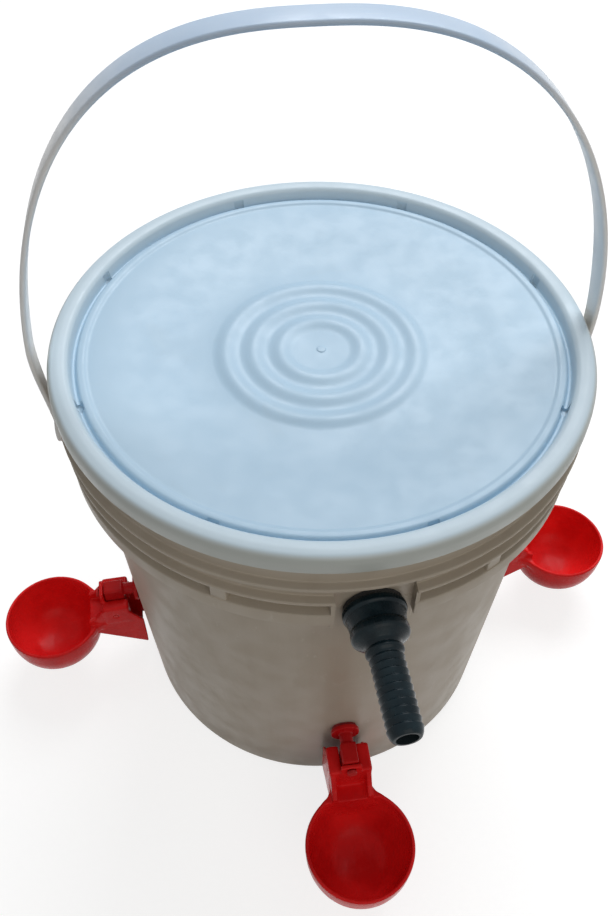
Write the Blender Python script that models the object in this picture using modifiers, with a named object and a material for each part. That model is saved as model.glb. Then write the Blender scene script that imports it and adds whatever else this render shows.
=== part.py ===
"""Poultry drinker: a lidded pail with four self-filling cups, a strap bail and a float-valve inlet.

Units are metres, +Z up. The origin is the centre of the pail's foot, on the floor.
Every cup and the inlet are modelled in a frame of their own, whose x runs outward along the
pail's radius, y runs along its wall and z is up, and which an empty turns to its place.
"""
import math

import bmesh
import bpy
from mathutils import Matrix

# Driving dimensions
CREST = 0.3077              # floor to the crest of the lid's rim
LID_RADIUS = 0.150          # outside of the lid's skirt
WALL = 0.0022               # pail's wall thickness
FOOT_RADIUS = 0.1263        # outside of the wall just above the bottom corner
SHOULDER_RADIUS = 0.1372    # outside of the wall just below the collar
CORNER_Z = 0.0075
SHOULDER_Z = 0.2440
GAP = 0.0003                # clearance between touching pieces

# Places round the pail, in degrees about +Z; the cup holes are drilled by hand
CUP_AZIMUTHS = {"front": -90.0, "right": 3.0, "rear": 92.0, "left": -178.0}
INLET_AZIMUTH = -87.7
BAIL_AZIMUTH = -1.0
NOTCH_AZIMUTH = 14.4
NOTCH_COUNT = 8
GUSSET_AZIMUTHS = (-118.5, -61.5, 61.5, 118.5)

# Segments round a turned piece
PAIL_STEPS = 48
BOWL_STEPS = 20
FITTING_STEPS = 18
SMALL_STEPS = 12

# Lid's panel, which sinks to a flat middle that carries the rings
PANEL_Z = CREST - 0.0065
PANEL_RADIUS = 0.1290
PANEL_THICKNESS = 0.0020
DISH_DEPTH = 0.0068
DISH_FLAT = 0.0660          # radius of the flat middle

# Bail
BAIL_Z = 0.2503
BAIL_HALF_WIDTH = 0.158     # centre plane to the middle of the strap, where the arch is widest
BAIL_PINCH = 0.0045         # how far each leg draws in at its pivot
PINCH_HEIGHT = 0.065        # above this height the legs don't draw in
BAIL_RISE = 0.228           # pivot to the middle of the strap at the top
BAIL_START = 0.006          # how far the strap runs below the pivot
BAIL_SQUARENESS = 0.785
STRAP_WIDTH = 0.016
STRAP_END_WIDTH = 0.008
TAPER_HEIGHT = 0.100        # the strap narrows below this height
STRAP_THICKNESS = 0.0030
EYE_RADIUS = 0.0095
STUD_RADIUS = 0.0046
BAIL_EAR_END = 0.1508       # outer end of the pail's ears, just inside the eyes

# Cups
STEM_Z = 0.080
PIN_X = 0.1500
PIN_Z = 0.066
BOWL_X = 0.1971
RIM_Z = 0.0576
BOWL_RADIUS = 0.0345
BOWL_FLOOR_Z = 0.0170
LAND_X = 0.1700             # the bowl's hollow ends here in a straight wall, with a flat land behind it
NECK_HALF_WIDTH = 0.0134
EAR_HALF_WIDTH = 0.0140
EAR_INSIDE = 0.0056
EAR_LOW = 0.0565
EAR_TOP = 0.0762
EAR_BACK = 0.1398
EAR_FRONT = 0.1585
TONGUE_HALF_WIDTH = 0.0052
TONGUE_BACK = 0.1420
TONGUE_FRONT = 0.1560
TONGUE_TOP = 0.0855
PIN_RADIUS = 0.0015
PIN_HOLE = 0.0018
THREAD_RADIUS = 0.0050
FLANGE_IN = 0.1318
FLANGE_OUT = 0.1346
FLANGE_RADIUS = 0.0092
STEM_RADIUS = 0.0043
STEM_END = 0.1160
ROD_RADIUS = 0.0011

# Inlet: hose tail outside, float valve inside
INLET_Z = 0.2515
BOSS_IN = 0.1335
BOSS_OUT = 0.1412
BOSS_HALF_WIDTH = 0.0205
BOSS_LOW = INLET_Z - 0.0180
BOSS_HIGH = INLET_Z + 0.0265
TAIL_RADIUS = 0.0100
TAIL_END = 0.1560
HOSE_BORE = 0.0055
HOSE_END = 0.2120
BARB_START = 0.1715
BARB_PITCH = 0.0039
BARB_COUNT = 10
ARM_X = 0.0945
ARM_Z = INLET_Z - 0.0110
ARM_DROOP = 25.0            # degrees below level with the pail empty
FLOAT_DISTANCE = 0.095
FLOAT_RADIUS = 0.025

WHITE = ((0.62, 0.66, 0.66), 0.42, 0.0)
LID_BLUE = ((0.52, 0.68, 0.80), 0.40, 0.0)
RED = ((0.60, 0.015, 0.018), 0.22, 0.0)
VALVE_RED = ((0.36, 0.008, 0.010), 0.28, 0.0)
SOFT_RED = ((0.30, 0.010, 0.012), 0.60, 0.0)
BLACK = ((0.012, 0.014, 0.016), 0.38, 0.0)
RUBBER = ((0.03, 0.03, 0.03), 0.80, 0.0)
STEEL = ((0.62, 0.62, 0.60), 0.30, 1.0)
FLOAT_WHITE = ((0.80, 0.80, 0.78), 0.45, 0.0)


# Scene helpers

def clear_scene():
    for old in list(bpy.data.objects):
        bpy.data.objects.remove(old, do_unlink=True)


def new_collection(name):
    made = bpy.data.collections.new(name)
    bpy.context.scene.collection.children.link(made)
    return made


def new_material(name, look):
    colour, roughness, metallic = look
    made = bpy.data.materials.new(name)
    made.use_nodes = True
    shader = made.node_tree.nodes["Principled BSDF"]
    shader.inputs["Base Color"].default_value = (*colour, 1.0)
    shader.inputs["Roughness"].default_value = roughness
    shader.inputs["Metallic"].default_value = metallic
    return made


def add_object(name, mesh, look=None, parent=None):
    """A part when it has a look, and otherwise a cutter or a shape to join on."""
    made = bpy.data.objects.new(name, mesh)
    if look is None:
        cutters.objects.link(made)
        made.hide_render = True
        made.display_type = "WIRE"
    else:
        parts.objects.link(made)
        mesh.materials.append(new_material(name, look))
    made.parent = parent
    return made


def add_empty(name, location=(0, 0, 0), rotation=(0, 0, 0), parent=None):
    made = bpy.data.objects.new(name, None)
    cutters.objects.link(made)
    made.hide_render = True
    made.location = location
    made.rotation_euler = [math.radians(angle) for angle in rotation]
    made.parent = parent
    return made


def combine(target, other, operation):
    modifier = target.modifiers.new(operation.title(), "BOOLEAN")
    modifier.operation = operation
    modifier.object = other
    modifier.solver = "EXACT"


def join(target, *others):
    for other in others:
        combine(target, other, "UNION")


def cut(target, *others):
    for other in others:
        combine(target, other, "DIFFERENCE")


def round_edges(target, width, segments=2):
    modifier = target.modifiers.new("Bevel", "BEVEL")
    modifier.width = width
    modifier.segments = segments
    modifier.limit_method = "ANGLE"


def finish_smooth(mesh, angle=40.0):
    mesh.shade_smooth()
    mesh.set_sharp_from_angle(angle=math.radians(angle))


# Shape helpers

def box(name, low, high, look=None, parent=None, origin=(0, 0, 0)):
    """A box between two corners given in its parent's frame."""
    shape = bmesh.new()
    bmesh.ops.create_cube(shape, size=1.0)
    size = [b - a for a, b in zip(low, high)]
    middle = [(a + b) / 2 - c for a, b, c in zip(low, high, origin)]
    bmesh.ops.scale(shape, vec=size, verts=shape.verts)
    bmesh.ops.translate(shape, vec=middle, verts=shape.verts)
    mesh = bpy.data.meshes.new(name)
    shape.to_mesh(mesh)
    shape.free()
    made = add_object(name, mesh, look, parent)
    made.location = origin
    return made


def prism(name, outline, low, high, look=None, parent=None, origin=(0, 0, 0)):
    """A closed outline of x and z points, filled between a low and a high y."""
    count = len(outline)
    points = []
    for side in (low, high):
        for x, z in outline:
            points.append((x - origin[0], side - origin[1], z - origin[2]))
    faces = [tuple(reversed(range(count))), tuple(range(count, 2 * count))]
    for i in range(count):
        j = (i + 1) % count
        faces.append((i, j, count + j, count + i))
    mesh = bpy.data.meshes.new(name)
    mesh.from_pydata(points, [], faces)
    made = add_object(name, mesh, look, parent)
    made.location = origin
    shape = bmesh.new()
    shape.from_mesh(mesh)
    bmesh.ops.recalc_face_normals(shape, faces=shape.faces)
    shape.to_mesh(mesh)
    shape.free()
    return made


def turned(name, profile, steps, look=None, parent=None, location=(0, 0, 0), ring=False, radial=False):
    """A profile of (radius, height) points turned about its own Z, or laid along x when radial.

    The points run from the top outward and down the outer side; a ring closes on itself.
    """
    mesh = bpy.data.meshes.new(name)
    points = [(radius, 0.0, height) for radius, height in profile]
    edges = [(i, i + 1) for i in range(len(points) - 1)]
    if ring:
        edges.append((len(points) - 1, 0))
    mesh.from_pydata(points, edges, [])
    made = add_object(name, mesh, look, parent)
    made.location = location
    if radial:
        made.rotation_euler = (0.0, math.pi / 2, 0.0)
    screw = made.modifiers.new("Screw", "SCREW")
    screw.axis = "Z"
    screw.steps = steps
    screw.render_steps = steps
    screw.use_merge_vertices = True
    screw.merge_threshold = 0.00001
    screw.use_normal_calculate = False
    screw.use_smooth_shade = True
    return made


def rod(name, radius, start, end, steps, look=None, parent=None, location=(0, 0, 0), radial=True):
    """A plain cylinder between two heights on its axis."""
    profile = [(0.0, end), (radius, end), (radius, start), (0.0, start)]
    return turned(name, profile, steps, look, parent, location, radial=radial)


def cross_rod(name, radius, half_length, at, look=None, parent=None):
    """A cylinder along y, through the point at."""
    made = rod(name, radius, -half_length, half_length, SMALL_STEPS, look, parent, at, radial=False)
    made.rotation_euler = (math.pi / 2, 0.0, 0.0)
    return made


def hexagon(name, across_flats, start, end, hole, look, parent, location):
    """A hexagon nut along x with a round hole."""
    shape = bmesh.new()
    bmesh.ops.create_cone(shape, cap_ends=True, segments=6, radius1=across_flats / math.sqrt(3),
                          radius2=across_flats / math.sqrt(3), depth=end - start)
    bmesh.ops.translate(shape, vec=(0, 0, (start + end) / 2), verts=shape.verts)
    mesh = bpy.data.meshes.new(name)
    shape.to_mesh(mesh)
    shape.free()
    made = add_object(name, mesh, look, parent)
    made.location = location
    made.rotation_euler = (0.0, math.pi / 2, 0.0)
    cut(made, rod(name + "_hole", hole, start - 0.002, end + 0.002, FITTING_STEPS, None, parent, location))
    return made


def welded_mesh(curve):
    """A curve turned into one closed mesh."""
    temporary = bpy.data.objects.new(curve.name, curve)
    cutters.objects.link(temporary)
    evaluated = temporary.evaluated_get(bpy.context.evaluated_depsgraph_get())
    mesh = bpy.data.meshes.new_from_object(evaluated)
    bpy.data.objects.remove(temporary)
    shape = bmesh.new()
    shape.from_mesh(mesh)
    bmesh.ops.remove_doubles(shape, verts=shape.verts, dist=0.00001)
    bmesh.ops.recalc_face_normals(shape, faces=shape.faces)
    shape.to_mesh(mesh)
    shape.free()
    mesh.materials.clear()
    return mesh


def eased(share):
    """A share from 0 to 1 that starts and ends level, and is held between them."""
    share = min(1.0, max(0.0, share))
    return share * share * (3.0 - 2.0 * share)


def wall_radius(z):
    """Outside radius of the tapered wall at a height."""
    share = (z - CORNER_Z) / (SHOULDER_Z - CORNER_Z)
    return FOOT_RADIUS + (SHOULDER_RADIUS - FOOT_RADIUS) * share


# Pail and lid

def make_pail():
    inner = [
        (0.0, 0.0025), (0.1170, 0.0025), (0.1222, 0.0048), (wall_radius(0.012) - WALL, 0.0120),
        (SHOULDER_RADIUS - WALL, SHOULDER_Z), (0.1367, 0.2560), (0.1397, 0.2646),
        (0.1422, 0.2784), (0.1429, 0.2840), (0.1429, CREST - 0.0042),
    ]
    rim = [
        (0.1448, CREST - 0.0042), (0.1466, CREST - 0.0050), (0.1468, CREST - 0.0072),
        (0.1454, CREST - 0.0087), (0.1452, 0.2818),
    ]
    ribs = [
        (0.1497, 0.2812), (0.1497, 0.2790), (0.1452, 0.2784), (0.1440, 0.2680),
        (0.1488, 0.2674), (0.1488, 0.2652), (0.1430, 0.2646), (0.1400, 0.2560),
    ]
    skirt = [
        (0.1480, 0.2552), (0.1478, 0.2450), (0.1463, 0.2447), (0.1463, 0.2530), (0.1386, 0.2530),
    ]
    outer = [
        (SHOULDER_RADIUS, SHOULDER_Z), (FOOT_RADIUS, CORNER_Z), (0.1248, 0.0028), (0.1210, 0.0), (0.0, 0.0),
    ]
    pail = turned("pail_body", inner + rim + ribs + skirt + outer, PAIL_STEPS, WHITE)

    for number, azimuth in enumerate(GUSSET_AZIMUTHS):
        seat = add_empty("gusset_seat_%d" % number, rotation=(0, 0, azimuth))
        join(pail, box("gusset_%d" % number, (0.1395, -0.0045, 0.2545), (0.1474, 0.0045, 0.2660),
                       parent=seat))

    inlet = add_empty("inlet_seat", rotation=(0, 0, INLET_AZIMUTH))
    pocket = box("inlet_pocket", (BOSS_OUT, -BOSS_HALF_WIDTH, BOSS_LOW - 0.004),
                 (0.156, BOSS_HALF_WIDTH, BOSS_HIGH + 0.0005), parent=inlet)
    boss = box("inlet_boss", (BOSS_IN, -BOSS_HALF_WIDTH - 0.0010, BOSS_LOW),
               (BOSS_OUT - 0.0001, BOSS_HALF_WIDTH + 0.0010, BOSS_HIGH), parent=inlet)
    cut(pail, pocket)
    join(pail, boss)
    cut(pail, rod("inlet_hole", TAIL_RADIUS + 0.0008, 0.125, 0.150, FITTING_STEPS, None, inlet,
                  (0, 0, INLET_Z)))

    bail_seat = add_empty("bail_seat", (0, 0, BAIL_Z), (0, 0, BAIL_AZIMUTH))
    for side, turn in (("right", 0), ("left", 180)):
        seat = add_empty("ear_seat_" + side, rotation=(0, 0, turn), parent=bail_seat)
        join(pail, rod("ear_" + side, 0.0135, 0.1375, BAIL_EAR_END, FITTING_STEPS, None, seat))
        cut(pail, rod("ear_hole_" + side, STUD_RADIUS + 0.0004, 0.1435, 0.160, SMALL_STEPS, None, seat))

    for place, azimuth in CUP_AZIMUTHS.items():
        seat = add_empty("cup_hole_seat_" + place, rotation=(0, 0, azimuth))
        cut(pail, rod("cup_hole_" + place, THREAD_RADIUS + GAP, 0.115, 0.140, SMALL_STEPS, None, seat,
                      (0, 0, STEM_Z)))
    return pail


def lid_rings():
    """Points over the three raised rings round the lid's centre."""
    start, pitch, height, count = 0.0151, 0.0155, 0.0019, 3
    points = []
    for number in range(count):
        for share in (0.0, 0.3, 0.5, 0.7):
            rise = height / 2 * (1 - math.cos(2 * math.pi * share))
            points.append((start + pitch * (number + share), PANEL_Z - DISH_DEPTH + rise))
    points.append((start + pitch * count, PANEL_Z - DISH_DEPTH))
    return points


def lid_dish():
    """Points up the panel's slope, from its flat middle to its edge."""
    points = []
    count = 5
    for i in range(count + 1):
        share = i / count
        height = PANEL_Z - DISH_DEPTH * (1.0 - eased(share))
        points.append((DISH_FLAT + (PANEL_RADIUS - DISH_FLAT) * share, height))
    return points


def make_lid():
    top = [(0.0, PANEL_Z - DISH_DEPTH)] + lid_rings() + lid_dish() + [
        (0.1308, PANEL_Z + 0.0011), (0.1338, PANEL_Z + 0.0011), (0.1350, PANEL_Z - 0.0002),
        (0.1354, CREST - 0.0082), (0.1370, CREST - 0.0082),
    ]
    rim = [
        (0.1384, CREST - 0.0020), (0.1402, CREST - 0.0004), (0.1440, CREST), (0.1474, CREST - 0.0006),
        (0.1492, CREST - 0.0024), (LID_RADIUS, CREST - 0.0052), (LID_RADIUS, CREST - 0.0120),
    ]
    under = [
        (0.1484, CREST - 0.0120), (0.1472, CREST - 0.0105), (0.1482, CREST - 0.0090),
        (0.1482, CREST - 0.0032), (0.1470, CREST - 0.0022), (0.1432, CREST - 0.0020),
        (0.1424, CREST - 0.0030), (0.1392, CREST - 0.0102), (0.1340, CREST - 0.0102),
    ]
    for radius, height in reversed(lid_dish()):
        under.append((radius, height - PANEL_THICKNESS))
    under.append((0.0, PANEL_Z - DISH_DEPTH - PANEL_THICKNESS))
    lid = turned("lid", top + rim + under, PAIL_STEPS, LID_BLUE)
    for number in range(NOTCH_COUNT):
        azimuth = NOTCH_AZIMUTH + 360 / NOTCH_COUNT * number
        seat = add_empty("notch_seat_%d" % number, rotation=(0, 0, azimuth))
        cut(lid, box("notch_%d" % number, (0.1341, -0.0032, CREST - 0.0096),
                     (0.1387, 0.0032, CREST - 0.0030), parent=seat))

    low, high = CREST - 0.0039, CREST - 0.0024
    gasket = [(0.1464, high), (0.1464, low), (0.1434, low), (0.1434, high)]
    turned("lid_gasket", gasket, PAIL_STEPS, RUBBER, ring=True)


# Bail

def bail_sway(height):
    """How far the soft strap has bent over to the left at a height above its pivots."""
    height = max(height, 0.0)
    return 0.0018 * min(1.0, height / 0.060) + 0.0055 * (height / BAIL_RISE) ** 4


def bail_arch(offset):
    """Points along the strap's arch, moved outward by an offset, with both legs drawn in at their ends."""
    points = []
    count = 44
    for i in range(count + 1):
        angle = math.pi * i / count
        height = math.sin(angle) ** BAIL_SQUARENESS * (BAIL_RISE + BAIL_START + offset) - BAIL_START
        pinch = BAIL_PINCH * eased(1.0 - height / PINCH_HEIGHT)
        half = abs(math.cos(angle)) ** BAIL_SQUARENESS * (BAIL_HALF_WIDTH + offset) - pinch
        points.append((math.copysign(half, math.cos(angle)) - bail_sway(height), height))
    return points


def taper_strap(mesh):
    """Narrows the strap towards its ends."""
    for vertex in mesh.vertices:
        width = STRAP_END_WIDTH + (STRAP_WIDTH - STRAP_END_WIDTH) * eased(vertex.co.z / TAPER_HEIGHT)
        vertex.co.y *= width / STRAP_WIDTH


def make_bail():
    pivot = add_empty("bail_pivot", (0, 0, BAIL_Z), (0, 0, BAIL_AZIMUTH))
    half = STRAP_THICKNESS / 2
    outline = bail_arch(half) + list(reversed(bail_arch(-half)))
    curve = bpy.data.curves.new("strap_outline", "CURVE")
    curve.dimensions = "2D"
    curve.fill_mode = "BOTH"
    curve.extrude = STRAP_WIDTH / 2
    spline = curve.splines.new("POLY")
    spline.points.add(len(outline) - 1)
    for point, (across, up) in zip(spline.points, outline):
        point.co = (across, up, 0.0, 1.0)
    spline.use_cyclic_u = True
    mesh = welded_mesh(curve)
    mesh.transform(Matrix.Rotation(math.pi / 2, 4, "X"))
    taper_strap(mesh)
    bail = add_object("bail_handle", mesh, WHITE, pivot)
    for side, turn in (("right", 0), ("left", 180)):
        seat = add_empty("bail_end_" + side, rotation=(0, 0, turn), parent=pivot)
        inside = BAIL_HALF_WIDTH - BAIL_PINCH - half - 0.0002
        outside = BAIL_HALF_WIDTH - BAIL_PINCH + half + 0.0002
        join(bail, rod("bail_eye_" + side, EYE_RADIUS, inside, outside, FITTING_STEPS, None, seat))
        join(bail, rod("bail_stud_" + side, STUD_RADIUS, 0.1450, inside + 0.001, SMALL_STEPS, None, seat))


# Cups

def bowl_outside():
    return [
        (0.0, RIM_Z), (BOWL_RADIUS - 0.0006, RIM_Z), (BOWL_RADIUS, RIM_Z - 0.0006), (BOWL_RADIUS, 0.0520),
        (0.0340, 0.0430), (0.0317, 0.0340), (0.0270, 0.0262), (0.0195, 0.0203), (0.0100, 0.0174),
        (0.0, BOWL_FLOOR_Z),
    ]


def bowl_inside():
    return [
        (0.0, 0.0700), (0.0323, 0.0700), (0.0323, 0.0520), (0.0316, 0.0430), (0.0292, 0.0350),
        (0.0248, 0.0283), (0.0180, 0.0228), (0.0095, 0.0200), (0.0, 0.0192),
    ]


def make_bowl(place, seat):
    """The tipping bowl with its railed neck, the two ears on the hinge pin and the yoke on the valve."""
    pin = (PIN_X, 0.0, PIN_Z)
    bowl = box("cup_bowl_" + place, (0.1572, -NECK_HALF_WIDTH, 0.0515), (0.1760, NECK_HALF_WIDTH, RIM_Z),
               RED, seat, pin)
    join(bowl, box("yoke_" + place, (0.1565, -0.0068, 0.0500), (0.1593, 0.0068, 0.0845), None, seat))
    cheek_outline = [
        (0.1315, 0.0240), (0.1312, 0.0555), (0.1405, 0.0700), (0.1560, 0.0700), (0.1560, RIM_Z - 0.0006),
        (0.1665, RIM_Z - 0.0006), (0.1665, 0.0465),
    ]
    rail_outline = [
        (0.1572, 0.0560), (0.1572, 0.0745), (0.1592, 0.0728), (0.1650, 0.0645), (0.1750, 0.0588),
        (0.1750, 0.0560),
    ]
    for side in (-1, 1):
        low, high = sorted((side * 0.0098, side * (NECK_HALF_WIDTH - 0.0002)))
        join(bowl, prism("rail_%s_%d" % (place, side), rail_outline, low, high, None, seat))
        low, high = sorted((side * EAR_INSIDE, side * EAR_HALF_WIDTH))
        ear = box("ear_%s_%d" % (place, side), (EAR_BACK, low, EAR_LOW), (EAR_FRONT, high, EAR_TOP),
                  None, seat)
        round_edges(ear, 0.0022, 1)
        low, high = sorted((side * 0.0120, side * 0.0138))
        join(bowl, ear, prism("cheek_%s_%d" % (place, side), cheek_outline, low, high, None, seat))
    join(bowl, turned("bowl_outside_" + place, bowl_outside(), BOWL_STEPS, None, seat, (BOWL_X, 0, 0)))
    hollow = turned("bowl_inside_" + place, bowl_inside(), BOWL_STEPS, None, seat, (BOWL_X, 0, 0))
    cut(hollow, box("bowl_land_" + place, (0.1500, -BOWL_RADIUS, 0.0100), (LAND_X, BOWL_RADIUS, 0.0800),
                    None, seat))
    cut(bowl, hollow,
        cross_rod("ear_hole_" + place, PIN_HOLE, 0.016, pin, None, seat),
        rod("yoke_slot_" + place, 0.0024, 0.150, 0.165, SMALL_STEPS, None, seat, (0, 0, STEM_Z + 0.0003)))


def make_housing(place, seat):
    """The fixed valve housing: inlet stem, wall flange and the tongue that carries the hinge pin."""
    housing = box("cup_housing_" + place, (TONGUE_BACK, -TONGUE_HALF_WIDTH, 0.0605),
                  (TONGUE_FRONT, TONGUE_HALF_WIDTH, TONGUE_TOP), VALVE_RED, seat)
    round_edges(housing, 0.0014)
    stem = [
        (0.0, 0.1440), (STEM_RADIUS, 0.1440), (STEM_RADIUS, FLANGE_OUT), (FLANGE_RADIUS, FLANGE_OUT),
        (FLANGE_RADIUS, FLANGE_IN), (THREAD_RADIUS, FLANGE_IN), (THREAD_RADIUS, STEM_END), (0.0, STEM_END),
    ]
    bore = [
        (0.0, 0.1600), (0.0018, 0.1600), (0.0018, 0.1325), (0.0032, 0.1325), (0.0032, 0.1140),
        (0.0, 0.1140),
    ]
    join(housing, turned("stem_" + place, stem, SMALL_STEPS, None, seat, (0, 0, STEM_Z), radial=True))
    cut(housing,
        turned("bore_" + place, bore, SMALL_STEPS, None, seat, (0, 0, STEM_Z), radial=True),
        cross_rod("tongue_hole_" + place, PIN_HOLE, 0.012, (PIN_X, 0, PIN_Z), None, seat))


def make_plunger(place, seat):
    rod_profile = [
        (0.0, 0.1615), (0.0032, 0.1615), (0.0032, 0.1598), (ROD_RADIUS, 0.1598), (ROD_RADIUS, 0.1237),
        (0.0028, 0.1237), (0.0028, 0.1225), (ROD_RADIUS, 0.1225), (ROD_RADIUS, 0.1124), (0.0030, 0.1124),
        (0.0030, 0.1112), (0.0, 0.1112),
    ]
    turned("cup_plunger_" + place, rod_profile, 10, VALVE_RED, seat, (0, 0, STEM_Z), radial=True)
    seal = [(0.0045, 0.1142), (0.0045, 0.1127), (ROD_RADIUS + 0.0002, 0.1127), (ROD_RADIUS + 0.0002, 0.1142)]
    turned("cup_seal_" + place, seal, SMALL_STEPS, RUBBER, seat, (0, 0, STEM_Z), ring=True, radial=True)


def make_spring(place, seat):
    """The return spring, as long as it is with the bowl down."""
    turns, per_turn, start, end, radius, wire = 4, 6, 0.1260, 0.1318, 0.0022, 0.00035
    curve = bpy.data.curves.new("cup_spring_" + place, "CURVE")
    curve.dimensions = "3D"
    curve.bevel_depth = wire
    curve.bevel_resolution = 0
    curve.use_fill_caps = True
    spline = curve.splines.new("POLY")
    count = turns * per_turn
    spline.points.add(count)
    for i, point in enumerate(spline.points):
        angle = 2 * math.pi * i / per_turn
        along = start + (end - start) * i / count
        point.co = (along, radius * math.cos(angle), STEM_Z + radius * math.sin(angle), 1.0)
    add_object("cup_spring_" + place, welded_mesh(curve), STEEL, seat)


def make_wall_washer(place, seat):
    """The rubber washer between the flange and the wall, shaped by the wall."""
    disc = [(0.0080, 0.1315), (0.0080, 0.1240), (THREAD_RADIUS + GAP, 0.1240), (THREAD_RADIUS + GAP, 0.1315)]
    washer = turned("cup_washer_" + place, disc, SMALL_STEPS, SOFT_RED, seat, (0, 0, STEM_Z), ring=True,
                    radial=True)
    wall_profile = [
        (0.0, 0.110), (wall_radius(0.110) + GAP, 0.110), (wall_radius(0.050) + GAP, 0.050), (0.0, 0.050),
    ]
    cut(washer, turned("washer_wall_" + place, wall_profile, PAIL_STEPS))


def make_cup(place, azimuth):
    seat = add_empty("cup_seat_" + place, rotation=(0, 0, azimuth))
    make_bowl(place, seat)
    make_housing(place, seat)
    cross_rod("cup_pin_" + place, PIN_RADIUS, EAR_HALF_WIDTH - 0.0002, (PIN_X, 0, PIN_Z), RED, seat)
    make_plunger(place, seat)
    make_spring(place, seat)
    make_wall_washer(place, seat)
    hexagon("cup_nut_" + place, 0.015, 0.1213, 0.1262, THREAD_RADIUS + GAP, RED, seat, (0, 0, STEM_Z))


# Inlet

def hose_tail_profile():
    """The hose tail from its free end back to its flange, and back through its bore."""
    barbs = []
    for number in range(BARB_COUNT):
        start = BARB_START + BARB_PITCH * number
        barbs += [(0.0080, start), (0.0090, start + 0.0006), (0.0081, start + BARB_PITCH - 0.0004)]
    tip = [(HOSE_BORE, HOSE_END), (0.0070, HOSE_END), (0.0079, HOSE_END - 0.0015)]
    body = [
        (0.0084, 0.1700), (0.0098, 0.1690), (0.0098, 0.1672), (0.0088, 0.1665), (0.0095, 0.1640),
        (0.0140, 0.1612), (0.0149, 0.1600), (0.0149, 0.1565), (0.0143, 0.1555), (0.0155, 0.1485),
        (0.0165, 0.1475), (0.0165, 0.1443),
    ]
    bore = [(TAIL_RADIUS + GAP, 0.1443), (TAIL_RADIUS + GAP, 0.1575), (HOSE_BORE, 0.1600)]
    return tip + list(reversed(barbs)) + body + bore


def washer(name, inner, outer, start, end, look, seat):
    ring = [(outer, end), (outer, start), (inner, start), (inner, end)]
    turned(name, ring, FITTING_STEPS, look, seat, (0, 0, INLET_Z), ring=True, radial=True)


def make_inlet(seat):
    turned("hose_tail", hose_tail_profile(), FITTING_STEPS, BLACK, seat, (0, 0, INLET_Z), ring=True,
           radial=True)
    washer("inlet_outer_washer", TAIL_RADIUS + GAP, 0.0155, BOSS_OUT + GAP, 0.1440, RUBBER, seat)
    washer("inlet_inner_washer", TAIL_RADIUS + GAP, 0.0155, 0.1312, BOSS_IN - GAP, RUBBER, seat)
    hexagon("inlet_locknut", 0.030, 0.1245, 0.1309, TAIL_RADIUS + GAP, BLACK, seat, (0, 0, INLET_Z))

    outside = [
        (0.0045, TAIL_END), (TAIL_RADIUS, TAIL_END), (TAIL_RADIUS, 0.1180), (0.0085, 0.1170),
        (0.0085, 0.0975), (0.0055, 0.0975), (0.0055, 0.1160), (0.0022, 0.1160), (0.0022, 0.1220),
        (0.0045, 0.1220),
    ]
    body = turned("float_valve_body", outside, FITTING_STEPS, BLACK, seat, (0, 0, INLET_Z), ring=True,
                  radial=True)
    for side in (-1, 1):
        low, high = sorted((side * 0.0042, side * 0.0066))
        join(body, box("clevis_%d" % side, (0.0905, low, INLET_Z - 0.0155), (0.1040, high, INLET_Z - 0.0050),
                       None, seat))
    cut(body, cross_rod("clevis_hole", PIN_HOLE, 0.010, (ARM_X, 0, ARM_Z), None, seat))
    cross_rod("float_pin", PIN_RADIUS, 0.0068, (ARM_X, 0, ARM_Z), STEEL, seat)

    plunger = [
        (0.0, 0.1080), (0.0035, 0.1080), (0.0035, 0.0952), (0.0012, 0.0952), (0.0012, 0.0922), (0.0, 0.0922),
    ]
    turned("float_plunger", plunger, SMALL_STEPS, FLOAT_WHITE, seat, (0, 0, INLET_Z), radial=True)
    rod("float_plunger_tip", 0.0045, 0.1083, 0.1110, SMALL_STEPS, RUBBER, seat, (0, 0, INLET_Z))


def make_float_arm(seat):
    """The lever with its finger, and the float, drooping about the lever's pin."""
    pivot = add_empty("arm_pivot", (ARM_X, 0, ARM_Z), (0, -ARM_DROOP, 0), seat)
    arm = box("float_arm", (-0.0040, -0.0036, -0.0040), (0.0015, 0.0036, 0.0115), BLACK, pivot)
    join(arm, rod("arm_rod", 0.0025, -FLOAT_DISTANCE + FLOAT_RADIUS - 0.008, -0.002, SMALL_STEPS, None,
                  pivot))
    cut(arm, cross_rod("arm_hole", PIN_HOLE, 0.010, (0, 0, 0), None, pivot))

    shape = bmesh.new()
    bmesh.ops.create_uvsphere(shape, u_segments=20, v_segments=12, radius=FLOAT_RADIUS)
    mesh = bpy.data.meshes.new("float_ball")
    shape.to_mesh(mesh)
    shape.free()
    finish_smooth(mesh)
    ball = add_object("float_ball", mesh, FLOAT_WHITE, pivot)
    ball.location = (-FLOAT_DISTANCE, 0, 0)
    cut(ball, rod("float_socket", 0.0028, -FLOAT_DISTANCE + FLOAT_RADIUS - 0.0083, -0.060, SMALL_STEPS, None,
                  pivot))


clear_scene()
parts = new_collection("poultry_drinker")
cutters = new_collection("cutters")
make_pail()
make_lid()
make_bail()
for cup_place, cup_azimuth in CUP_AZIMUTHS.items():
    make_cup(cup_place, cup_azimuth)
inlet_seat = add_empty("inlet_frame", rotation=(0, 0, INLET_AZIMUTH))
make_inlet(inlet_seat)
make_float_arm(inlet_seat)
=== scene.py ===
"""Dresses the poultry drinker with smooth meshes and moulded-plastic materials, and sets up its studio.

Units are metres in the row frame, +Z up, with the centre of the pail's foot at the origin. Every cup
and the inlet are made in a frame of their own, whose x runs outward along the pail's radius.
"""
import math

import bmesh
import bpy
from mathutils import Matrix, Vector


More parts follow.
